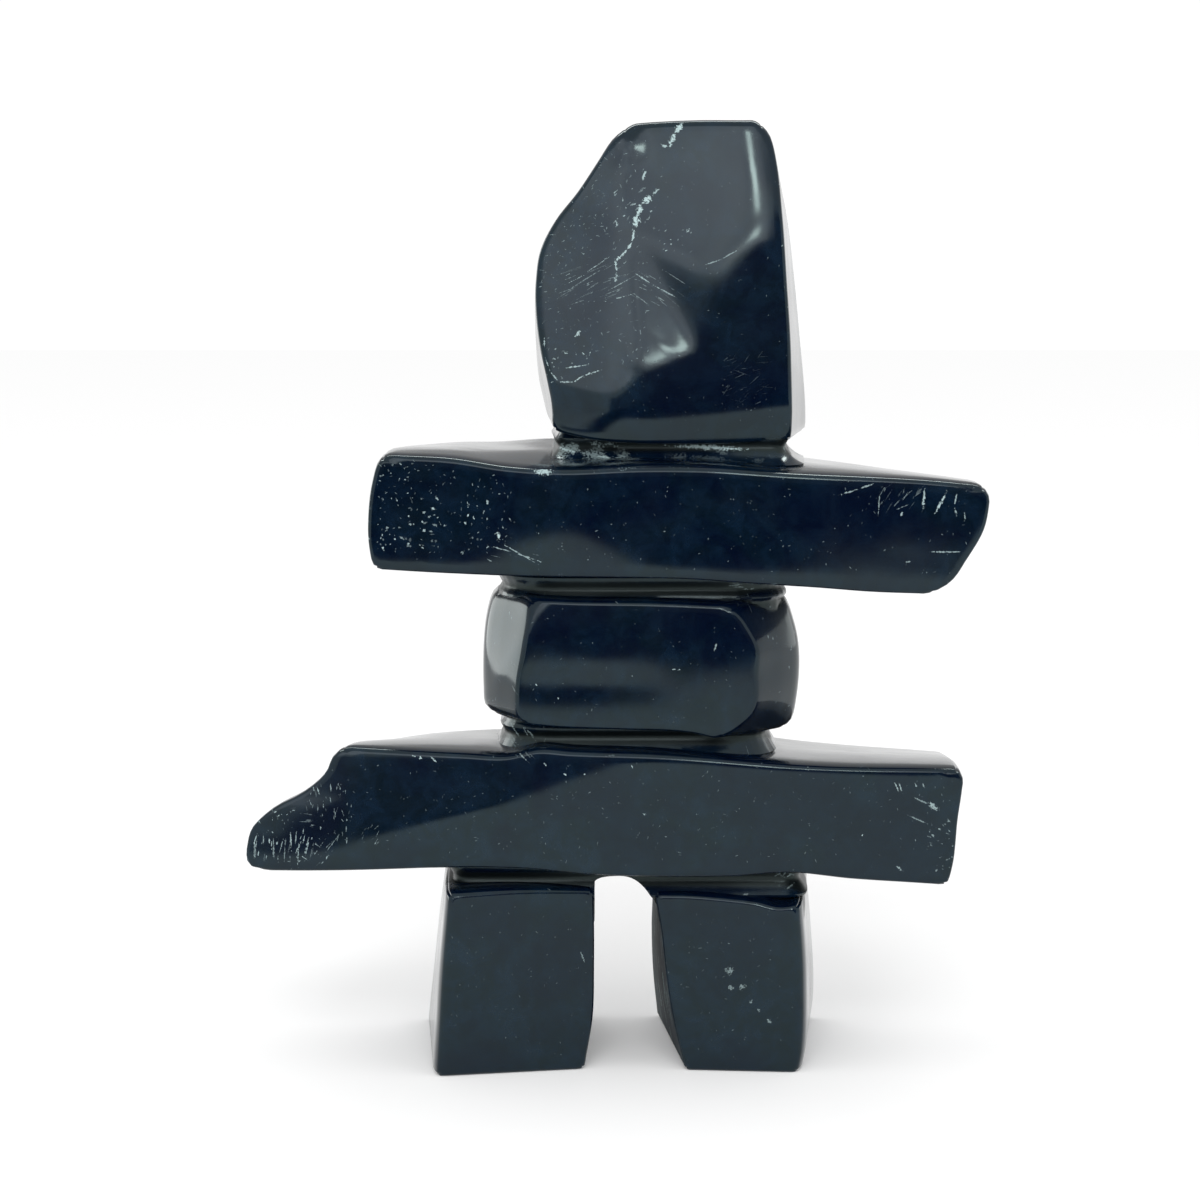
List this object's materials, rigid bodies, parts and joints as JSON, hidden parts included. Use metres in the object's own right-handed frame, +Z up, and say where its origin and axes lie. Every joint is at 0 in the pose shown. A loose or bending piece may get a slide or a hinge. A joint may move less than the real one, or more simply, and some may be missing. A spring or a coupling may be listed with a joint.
{
  "type": "inuksuk stone sculpture",
  "caption": "Stacked-stone figure carved from one block of polished dark serpentine, standing on its own feet.",
  "frame": {"origin": "middle of the figure's footprint, on the surface that it stands on", "axes": "+Z up, front of the figure faces -Y, arms and hips run along X"},
  "size_m": [0.1572, 0.0514, 0.2001],
  "materials": {
    "polished_serpentine": "hand-polished near-black blue-green serpentine with pale flecks, fine scratches and chalky tool marks in the necks"
  },
  "bodies": {
    "root": {"inukshuk": "polished_serpentine"}
  },
  "joints": []
}
